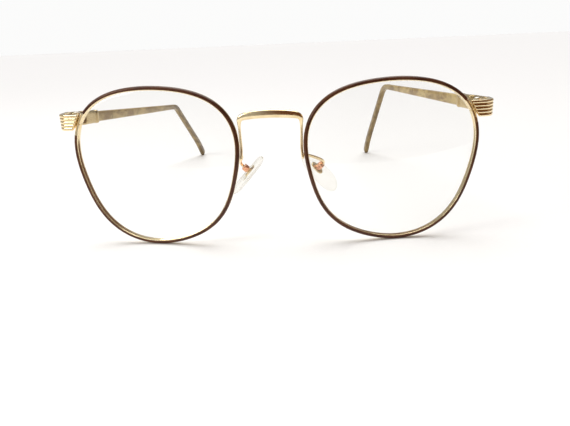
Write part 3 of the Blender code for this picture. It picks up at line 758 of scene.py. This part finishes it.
def closing_blocks(side_name, side):
    """Two small blocks on the rim's ends, and the screw that draws them together from below."""
    axis_out = RIM_OUT + SOLDER + BLOCK_WIDE / 2

    def place(x, y, level):
        return rim_point(SPLIT, axis_out + x, BLOCK_BACK + y, level)

    count = 64
    outline = superellipse(BLOCK_WIDE / 2, BLOCK_DEEP / 2, 6, count)
    bore = superellipse(CLOSING_SCREW + SCREW_PLAY, CLOSING_SCREW + SCREW_PLAY, 2, count)
    for which, low in (("upper", SPLIT_GAP), ("lower", -SPLIT_GAP - BLOCK_LENGTH)):
        shape = bored_prism(outline, bore, low, low + BLOCK_LENGTH, BLOCK_SOFT, place)
        block = make(f"block_{which}_{side_name}", *shape, lens_axes(side), side)
        hand_over(block, "front", "gold", [f"closing_block_{which}_{side_name}"], FINISH["gold"])
    bottom = -SPLIT_GAP - BLOCK_LENGTH - SOLDER
    made = screw(
        "rim_screw_" + side_name, lens_axes(side), side, place,
        CLOSING_SCREW, bottom, BLOCK_LENGTH, CLOSING_HEAD, head_up=False,
    )
    hand_over(made, "front", "screw_steel", ["closing_screw_" + side_name], FINISH["steel"])


# End pieces


def plate_path():
    """The end piece's plate from above: (point, heading) from the rim, round the corner, to the hinge."""
    heading = Vector((math.cos(PLATE_HEADING), math.sin(PLATE_HEADING)))
    corner = PLATE_START + heading * PLATE_FRONT_RUN
    centre = corner + Vector((-heading.y, heading.x)) * PLATE_TURN_RADIUS
    front_steps, turn_steps, side_steps = 10, 18, 8
    path = []
    for k in range(front_steps):
        share = k / front_steps
        path.append((PLATE_START + heading * PLATE_FRONT_RUN * share, PLATE_HEADING))
    for k in range(turn_steps + 1):
        angle = PLATE_HEADING + (math.pi / 2 - PLATE_HEADING) * k / turn_steps
        point = centre + Vector((math.sin(angle), -math.cos(angle))) * PLATE_TURN_RADIUS
        path.append((point, angle))
    start = path[-1][0]
    rear = HINGE.y - PLATE_STOP
    for k in range(1, side_steps + 1):
        path.append((Vector((start.x, start.y + (rear - start.y) * k / side_steps)), math.pi / 2))
    return path


def ribbed_profile(grow):
    """The plate's upright section, (outward, up): rounded ribs outside, soft corners inside."""
    high, thick = PLATE_HEIGHT / 2 - grow, PLATE_THICK / 2 - grow
    soft = 0.16 * mm
    rib = 2 * high / RIBS
    profile = []
    for k in range(RIBS):
        for t in range(RIB_STEPS):
            turn = math.pi * (t + 0.5) / RIB_STEPS
            up = -high + rib * (k + 0.5 - 0.5 * math.cos(turn))
            profile.append((thick + RIB_DEPTH * math.sin(turn) ** 0.8, up))
    profile += arc((-thick + soft, high - soft), soft, soft, math.pi / 2, math.pi, 4)
    profile += arc((-thick + soft, -high + soft), soft, soft, math.pi, 1.5 * math.pi, 4)
    return profile


def end_piece(side_name, side):
    """The ribbed plate from the rim round the corner to the hinge, with softened ends."""
    path = plate_path()
    soft = 0.18 * mm
    length = sum((b[0] - a[0]).length for a, b in zip(path, path[1:]))
    tilt = math.asin(abs(JOINTS[f"temple_{side_name}_fold"]["axis"][1])) + STAND_LEAN
    travelled = 0.0
    loops = []
    for i, (point, heading) in enumerate(path):
        if i:
            travelled += (point - path[i - 1][0]).length
        shear = PLATE_SHEAR * max(0.0, 1 - travelled / (2 * PLATE_FRONT_RUN))
        rear = max(0.0, 1 - (length - travelled) / PLATE_REAR) * math.tan(tilt)
        section = [(travelled, 0.0)]
        if i == 0:
            section = [(0.0, soft), (0.3 * soft, 0.3 * soft)]
        if i == len(path) - 1:
            section = [(length - 0.3 * soft, 0.3 * soft), (length, soft)]
        for at, grow in section:
            ahead = at - travelled
            loop = []
            for out, up in ribbed_profile(grow):
                x = point.x + math.cos(heading) * ahead + math.sin(heading) * out + shear * up
                y = point.y + math.sin(heading) * ahead - math.cos(heading) * out + rear * up
                loop.append((x, y, PLATE_MIDDLE_Z + up))
            loops.append(loop)
    plate = make("fluted_plate_" + side_name, *loft(loops), FRONT, side)
    hand_over(plate, "front", "gold", ["end_piece_" + side_name], FINISH["gold"])


# Hinges


def leaf_outline(reach):
    """A hinge leaf from above: the knuckle, and a plate along its outer side to this reach."""
    inner, outer = LEAF_X - LEAF_THICK, LEAF_X
    soft = LEAF_SOFT
    far = abs(reach)
    outline = arc((0, 0), KNUCKLE, KNUCKLE, LEAF_FROM, LEAF_TO, 44)
    outline += [(outer - soft, LEAF_HEEL), (outer, LEAF_HEEL + soft)]
    outline += arc((outer - soft, far - soft), soft, soft, 0, math.pi / 2, 4)
    outline += arc((inner + soft, far - soft), soft, soft, math.pi / 2, math.pi, 4)
    outline += [(inner, LEAF_ROOT)]
    if reach < 0:
        outline = [(x, -y) for x, y in reversed(outline)]
    return outline


def leaf(name, reach, half, axes, side):
    """A leaf with soft edges, drilled for the screw."""
    made = make(name, *rounded_prism(leaf_outline(reach), -half, half, 0.1 * mm, upright), axes, side)
    drill(made, KNUCKLE_BORE, 2 * half, upright, axes, side)
    return made


def hinge(side_name, side):
    """A three-knuckle hinge: a forked leaf on the front, a tongue on the temple, and the screw."""
    axes = hinge_axes(side_name, side)
    fork = leaf("hinge_fork_" + side_name, -FRONT_LEAF, KNUCKLE_TOP, axes, side)
    reach = 1.6 * KNUCKLE
    half = KNUCKLE_MIDDLE + KNUCKLE_PLAY
    mouth = rectangle((-reach, -reach), (reach + PAST, reach))
    carve(fork, make("knuckle_slot", *prism(mouth, -half, half, upright), axes, side))
    hand_over(fork, "front", "gold", ["front_hinge_" + side_name], FINISH["gold"])
    tongue = leaf(
        "hinge_tongue_" + side_name, TEMPLE_LEAF, KNUCKLE_MIDDLE, temple_axes(side_name, side), side,
    )
    hand_over(tongue, "temple_" + side_name, "gold", ["temple_hinge_" + side_name], FINISH["gold"])
    pin = screw(
        "hinge_pin_" + side_name, axes, side, upright,
        HINGE_SCREW, -KNUCKLE_TOP - HINGE_SCREW_TIP, KNUCKLE_TOP + SOLDER, HINGE_HEAD,
    )
    hand_over(pin, "front", "screw_steel", ["hinge_screw_" + side_name], FINISH["steel"])


# Temples


def temple_stations(bend):
    """(distance, y, z, heading) down the temple: straight, the bend over the ear, the drop and the hook."""
    corner = BEND_RADIUS * math.tan(bend / 2)
    runs = (
        (COLLAR_END, 0.0, 8),
        (TEMPLE_REACH - corner - COLLAR_END, 0.0, 40),
        (BEND_RADIUS * bend, bend, 28),
        (TEMPLE_BACK - corner - HOOK_LENGTH, 0.0, 16),
        (HOOK_LENGTH, HOOK, 20),
    )
    distance = y = z = heading = 0.0
    stations = [(distance, y, z, heading)]
    for length, turn, pieces in runs:
        for _ in range(pieces):
            heading += turn / pieces / 2
            y += length / pieces * math.cos(heading)
            z -= length / pieces * math.sin(heading)
            heading += turn / pieces / 2
            distance += length / pieces
            stations.append((distance, y, z, heading))
    return stations


def further(station, step):
    """The station moved on straight along its heading."""
    distance, y, z, heading = station
    return (distance + step, y + step * math.cos(heading), z - step * math.sin(heading), heading)


def sleeve_height(distance):
    """The sleeve's height at this distance from the hinge, eased between SLEEVE_HEIGHTS."""
    for (d0, h0), (d1, h1) in zip(SLEEVE_HEIGHTS, SLEEVE_HEIGHTS[1:]):
        if distance <= d1:
            return h0 + (h1 - h0) * max(0.0, (distance - d0) / (d1 - d0))
    return SLEEVE_HEIGHTS[-1][1]


def temple_loop(station, section):
    """A section, (outward, up), set square to the temple's centreline."""
    _, y, z, heading = station
    return [
        (TEMPLE_X + out, y + up * math.sin(heading), z + up * math.cos(heading))
        for out, up in section
    ]


def core_pocket():
    """The section of the hole that the core wire runs in."""
    return superellipse(CORE_WIDE / 2 + CORE_PLAY, CORE_HIGH / 2 + CORE_PLAY, 6, SECTION)


def sleeve(side_name, side):
    """The acetate sleeve: a softly squared bar that tapers to the bend, with a rounded tip."""
    stations = temple_stations(BEND[side_name])
    total = stations[-1][0]
    body = [s for s in stations if COLLAR_END - ROUND_OFF <= s[0] <= total - TIP_ROUND]

    def section(distance, shrink=0.0):
        half_high = sleeve_height(distance) / 2
        return superellipse(SLEEVE_THICK / 2 - shrink, half_high - shrink, 3.6, SECTION)

    loops = [
        temple_loop(body[0], section(COLLAR_END, TEMPLE_SOFT)),
        temple_loop(further(body[0], TEMPLE_SOFT), section(COLLAR_END)),
    ]
    loops += [temple_loop(s, section(s[0])) for s in body[1:]]
    last = body[-1]
    round_length = total + TIP_LENGTH - last[0]
    for k in range(1, TIP_STEPS + 1):
        turn = math.pi / 2 * k / TIP_STEPS
        ahead = further(last, round_length * math.sin(turn))
        loops.append(temple_loop(ahead, section(last[0], TIP_ROUND * (1 - math.cos(turn)))))
    inner = [s for s in stations if COLLAR_END - ROUND_OFF <= s[0] <= total - CORE_STOP]
    hollow = [temple_loop(s, core_pocket()) for s in reversed(inner)]
    bar = make("acetate_" + side_name, *loft(hollow + loops), temple_axes(side_name, side), side)
    hand_over(bar, "temple_" + side_name, "tortoise", ["temple_sleeve_" + side_name], FINISH["acetate"])


def collar(side_name, side):
    """The temple's metal front end: a plate beside the hinge leaf that swells into a beaded socket."""
    plate_x = LEAF_X + SOLDER
    socket_x = TEMPLE_X - SLEEVE_THICK / 2 - SOCKET_WALL
    outer_x = TEMPLE_X + SLEEVE_THICK / 2 + SOCKET_WALL
    high = COLLAR_HEIGHT / 2
    rear = COLLAR_END - SOLDER
    low_rear = SOCKET_HEIGHT / 2
    soft = TEMPLE_SOFT
    swell_start, swell_end = TEMPLE_LEAF + SWELL_FROM, TEMPLE_LEAF + SWELL_TO

    def loop(distance, inner_x, half, grow):
        wide, middle = (outer_x - inner_x) / 2 + grow, (outer_x + inner_x) / 2
        return [(middle + out, distance, up) for out, up in superellipse(wide, half + grow, 5, SECTION)]

    def half_at(distance):
        return high + (low_rear - high) * max(0.0, (distance - swell_end) / (rear - swell_end))

    loops = [loop(COLLAR_START, plate_x, high, -soft), loop(COLLAR_START + soft, plate_x, high, 0.0)]
    loops += [loop(TEMPLE_LEAF * k / 6, plate_x, high, 0.0) for k in range(1, 7)]
    for k in range(1, 9):
        ease = 0.5 - 0.5 * math.cos(math.pi * k / 8)
        at = swell_start + (swell_end - swell_start) * k / 8
        loops.append(loop(at, plate_x + (socket_x - plate_x) * ease, high, 0.0))
    bead_start = rear - BEAD_LENGTH
    for k in range(1, 7):
        at = swell_end + (bead_start - swell_end) * k / 6
        loops.append(loop(at, socket_x, half_at(at), 0.0))
    for k in range(1, 13):
        at = bead_start + BEAD_LENGTH * k / 12
        grow = BEAD * math.sin(math.pi * k / 12) ** 0.6
        loops.append(loop(at, socket_x, half_at(at), grow - soft if k == 12 else grow))
    for at in (rear, SOCKET_START - CORE_PLAY):
        loops.append([(TEMPLE_X + out, at, up) for out, up in core_pocket()])
    ferrule = make("ferrule_" + side_name, *loft(loops), temple_axes(side_name, side), side)
    # Painted shade: the collar takes the darker copy of the gold plate.
    hand_over(ferrule, "temple_" + side_name, "gold", ["temple_collar_" + side_name], FINISH["shaded dull gold"])


# Bridge


def spline(points, pieces):
    """A smooth curve through the points: Catmull-Rom, with that many pieces in each span."""
    padded = [points[0] * 2 - points[1]] + points + [points[-1] * 2 - points[-2]]
    curve = []
    for a, b, c, d in zip(padded, padded[1:], padded[2:], padded[3:]):
        for k in range(pieces):
            t = k / pieces
            curve.append(
                b + (c - a) * 0.5 * t
                + (a - b * 2.5 + c * 2 - d * 0.5) * t * t
                + (b * 1.5 - a * 0.5 - c * 1.5 + d * 0.5) * t * t * t
            )
    return curve + [points[-1]]


def beside_rim(angle):
    """The leg's centre, where it runs along the left rim, in the front's frame."""
    to_front = Matrix.Translation((LENS_SPACING / 2, 0, 0)) @ Matrix.Rotation(WRAP, 4, "Z")
    return to_front @ rim_point(angle, RIM_OUT + SOLDER + LEG_RADIUS, LEG_BACK)


def bridge():
    """The saddle bar, whose ends turn down into legs that run along the rims to rounded feet."""
    half = [(Vector(centre) * mm, up * mm, back * mm) for centre, up, back in BAR_HALF]
    half += [(beside_rim(angle), LEG_RADIUS, LEG_RADIUS) for angle in LEG_ANGLES]
    half = [Vector((*centre, up, back)) for centre, up, back in half]
    other = [Vector((-p[0], *p[1:])) for p in reversed(half[1:])]
    curve = spline(other + half, BAR_PIECES)
    loops = []
    for i, p in enumerate(curve):
        before, after = curve[max(i - 1, 0)], curve[min(i + 1, len(curve) - 1)]
        tangent = Vector((after[0] - before[0], 0, after[2] - before[2])).normalized()
        up = Vector((-tangent.z, 0, tangent.x))
        ends = min(i, len(curve) - 1 - i)
        full = math.sqrt(1 - (1 - min(1.0, (ends + 0.5) / FOOT_PIECES)) ** 2)
        loops.append([
            Vector(p[:3]) + up * a + Vector((0, b, 0))
            for a, b in superellipse(p[3] * full, p[4] * full, 2.3, ROUND)
        ])
    hand_over(make("bridge_bar", *loft(loops), FRONT), "front", "gold", ["bridge"], FINISH["gold"])


# Nose pads


def pad_cushion(side_name, side):
    """The clear pad: an egg-shaped cushion with a flat back, soft edges and a crowned face."""
    widest = -0.2 * mm
    levels = []
    for k in range(7):
        turn = math.pi / 2 * k / 6
        level = -PAD_BACK + (PAD_BACK + widest) * (1 - math.cos(turn))
        levels.append((level, 0.84 + 0.16 * math.sin(turn)))
    for k in range(1, 13):
        turn = math.pi / 2 * k / 12
        level = widest + (PAD_FACE - widest) * math.sin(turn)
        levels.append((level, 0.35 + 0.65 * math.cos(turn) ** 0.7))
    loops = []
    for level, share in levels:
        loop = []
        for x, y in superellipse(PAD_WIDTH / 2, PAD_LENGTH / 2, 2.3, 72):
            egg = 1 + PAD_EGG * y / (PAD_LENGTH / 2)
            shrink = 1 - (1 - share) * PAD_WIDTH / 2 / math.hypot(x, y)
            loop.append((x * egg * shrink, y * shrink + PIVOT_UP, level + PIVOT_BACK))
        loops.append(loop)
    axes = pad_axes(side_name, side)
    pad = make("clear_pad_" + side_name, *loft(loops), axes, side)
    back = PIVOT_BACK - PAD_BACK
    hole = superellipse(INSERT_WIDTH / 2 + SOLDER, INSERT_LENGTH / 2 + SOLDER, 2.5, SECTION)
    pocket = prism(hole, back - PAST / 2, back + INSERT_DEEP + SOLDER, upright)
    carve(pad, make("pad_pocket", *pocket, axes, side))
    hand_over(pad, "pad_" + side_name, "clear_pad", ["nose_pad_" + side_name], FINISH["pad"])


def pad_insert(side_name, side):
    """The plate moulded into the pad's back, and the drilled lug that hangs on the pad's screw."""
    axes = pad_axes(side_name, side)
    back = PIVOT_BACK - PAD_BACK
    outline = superellipse(INSERT_WIDTH / 2, INSERT_LENGTH / 2, 2.5, SECTION)
    shape = rounded_prism(outline, back, back + INSERT_DEEP, 0.1 * mm, upright)
    plate = make("insert_plate_" + side_name, *shape, axes, side)
    root = back + INSERT_DEEP / 2
    lug_outline = arc((0, 0), LUG_RADIUS, LUG_RADIUS, math.pi, 2 * math.pi, 32)
    lug_outline += [(LUG_RADIUS, root), (-LUG_RADIUS, root)]
    lug = rounded_prism(lug_outline, -LUG_WIDE / 2, LUG_WIDE / 2, 0.08 * mm, sideways)
    carve(plate, make("lug", *lug, axes, side), "UNION")
    drill(plate, PAD_SCREW + PAD_SCREW_PLAY, LUG_WIDE, sideways, axes, side)
    hand_over(plate, "pad_" + side_name, "gold", ["pad_insert_" + side_name], FINISH["gold"])


def pad_fork(side_name, side):
    """The small forked box on the end of the arm, and the screw that the pad rocks on."""
    axes = pad_axes(side_name, side)
    inner = LUG_WIDE / 2 + BOX_PLAY
    outer = inner + BOX_WALL
    low, bottom, high = (level + PIVOT_BACK for level in (BOX_CLOSED, BOX_BOTTOM, BOX_OPEN))
    outline = superellipse(outer, BOX_LENGTH / 2, 8, SECTION)
    shape = rounded_prism(outline, low, high, 0.12 * mm, upright)
    fork = make("pad_fork_" + side_name, *shape, axes, side)
    mouth = rectangle((-inner, -BOX_LENGTH), (inner, BOX_LENGTH))
    carve(fork, make("fork_slot", *prism(mouth, bottom, high + PAST, upright), axes, side))
    drill(fork, PAD_SCREW + PAD_SCREW_PLAY, 2 * outer, sideways, axes, side)
    hand_over(fork, "front", "pad_fitting", ["pad_box_" + side_name], FINISH["rose"])
    pin = screw(
        "pad_pin_" + side_name, axes, side, sideways,
        PAD_SCREW, -outer - SOLDER, outer, PAD_HEAD, head_up=False,
    )
    hand_over(pin, "front", "pad_fitting", ["pad_screw_" + side_name], FINISH["rose"])


def pad_arm(side_name, side):
    """The wire from the foot of the bridge's leg to the closed end of the pad's box."""
    _, _, normal = pad_directions(side_name, side)
    foot = beside_rim(ARM_ANGLE)
    start = Vector((side * foot.x, foot.y + LEG_RADIUS + SOLDER, foot.z))
    end = PAD_CENTRE[side_name] + normal * (BOX_CLOSED - SOLDER)
    behind = start + Vector((0, ARM_OUT, 0))
    route = [start, behind, (start + end) / 2 + ARM_RISE, end - normal * ARM_IN, end]
    curve = bpy.data.curves.new("arm_wire_" + side_name, "CURVE")
    curve.dimensions = "3D"
    curve.bevel_depth = ARM_RADIUS
    curve.bevel_resolution = 7
    curve.resolution_u = 16
    curve.use_fill_caps = True
    line = curve.splines.new("NURBS")
    line.points.add(len(route) - 1)
    for point, place in zip(line.points, route):
        point.co = (*(FRONT @ place), 1.0)
    line.order_u = 4
    line.use_endpoint_u = True
    wire = bpy.data.objects.new("arm_wire_" + side_name, curve)
    bpy.context.scene.collection.objects.link(wire)
    hand_over(settle(wire), "front", "gold", ["pad_arm_" + side_name], FINISH["gold"])


def core_wires():
    """The steel wires inside the temples stay as they are packed, with their own finish."""
    for side_name, _ in SIDES:
        core = frame["nodes"]["temple_core_" + side_name]
        core.data.materials.clear()
        core.data.materials.append(FINISH["steel"])


# Studio


def studio_floor():
    """A pale flat floor under the rims and the temple tips."""
    corners = rectangle((-FLOOR_HALF, FLOOR_FRONT), (FLOOR_HALF, FLOOR_HALF))
    mesh = bpy.data.meshes.new("studio_floor")
    mesh.from_pydata([(x, y, 0.0) for x, y in corners], [], [(0, 1, 2, 3)])
    mesh.materials.append(paper())
    floor = bpy.data.objects.new("studio_floor", mesh)
    bpy.context.scene.collection.objects.link(floor)


def aim(name, lamp, at):
    """Hangs a lamp here, pointing at the glasses."""
    obj = bpy.data.objects.new(name, lamp)
    obj.location = at
    obj.rotation_euler = (AIM_AT - Vector(at)).to_track_quat("-Z", "Y").to_euler()
    bpy.context.scene.collection.objects.link(obj)


def lights():
    """Broad even light from above, a bright lamp on the wearer's right and a weak one on their left."""
    sky = bpy.data.lights.new("overhead", "SUN")
    sky.energy = 2.5
    sky.angle = math.radians(60)
    aim("overhead", sky, (0.0, 0.25, 0.75))
    for name, at, size, watts, colour in (
        ("key", (-0.36, -0.24, 0.27), 0.22, 0.9, (1.0, 0.97, 0.90)),
        ("fill", (0.6, -0.2, 0.30), 0.25, 0.08, (1.0, 0.93, 0.86)),
    ):
        lamp = bpy.data.lights.new(name, "AREA")
        lamp.size = size
        lamp.energy = watts
        lamp.color = colour
        aim(name, lamp, at)


def surroundings():
    """Soft white air, which falls to the brown of a dim room ahead of the glasses on the wearer's left."""
    world = bpy.data.worlds.new("studio")
    bpy.context.scene.world = world
    world.use_nodes = True
    tree = world.node_tree
    direction = node(tree, "TexCoord").outputs["Generated"]
    ahead = node(tree, "VectorMath", {0: direction, 1: (0.80, -0.58, 0.15)}, operation="DOT_PRODUCT")
    shade = spread(tree, ahead.outputs["Value"], 0.2, 0.7)
    colour = mix(tree, shade, (0.42, 0.42, 0.42, 1), (0.14, 0.060, 0.028, 1))
    seen = node(tree, "LightPath").outputs["Is Camera Ray"]
    join(tree, tree.nodes["Background"], Color=mix(tree, seen, colour, (0.97, 0.97, 0.965, 1)))


def camera():
    """The scene's camera, and a view without any film look."""
    data = bpy.data.cameras.new("camera")
    data.sensor_width = 36.0
    data.lens = CAMERA_LENS
    data.clip_start = 0.005
    obj = bpy.data.objects.new("camera", data)
    turn = (
        Matrix.Rotation(CAMERA_HEADING, 4, "Z")
        @ Matrix.Rotation(math.pi / 2 - CAMERA_DOWN, 4, "X")
        @ Matrix.Rotation(CAMERA_ROLL, 4, "Z")
    )
    obj.matrix_world = Matrix.Translation(CAMERA_AT) @ turn
    bpy.context.scene.collection.objects.link(obj)
    bpy.context.scene.camera = obj
    bpy.context.scene.view_settings.view_transform = "Standard"


FINISH = {
    "gold": gold(),
    "shaded dull gold": shaded_dull_gold(),
    "rose": rose_gold(),
    "steel": steel(),
    "enamel": enamel(),
    "acetate": acetate(),
    "lens": lens_glass(),
    "pad": pad_plastic(),
}

camera()
lights()
surroundings()
studio_floor()
bridge()
core_wires()
for which_side, sign in SIDES:
    eyewire(which_side, sign)
    lens(which_side, sign)
    closing_blocks(which_side, sign)
    end_piece(which_side, sign)
    hinge(which_side, sign)
    sleeve(which_side, sign)
    collar(which_side, sign)
    pad_cushion(which_side, sign)
    pad_insert(which_side, sign)
    pad_fork(which_side, sign)
    pad_arm(which_side, sign)
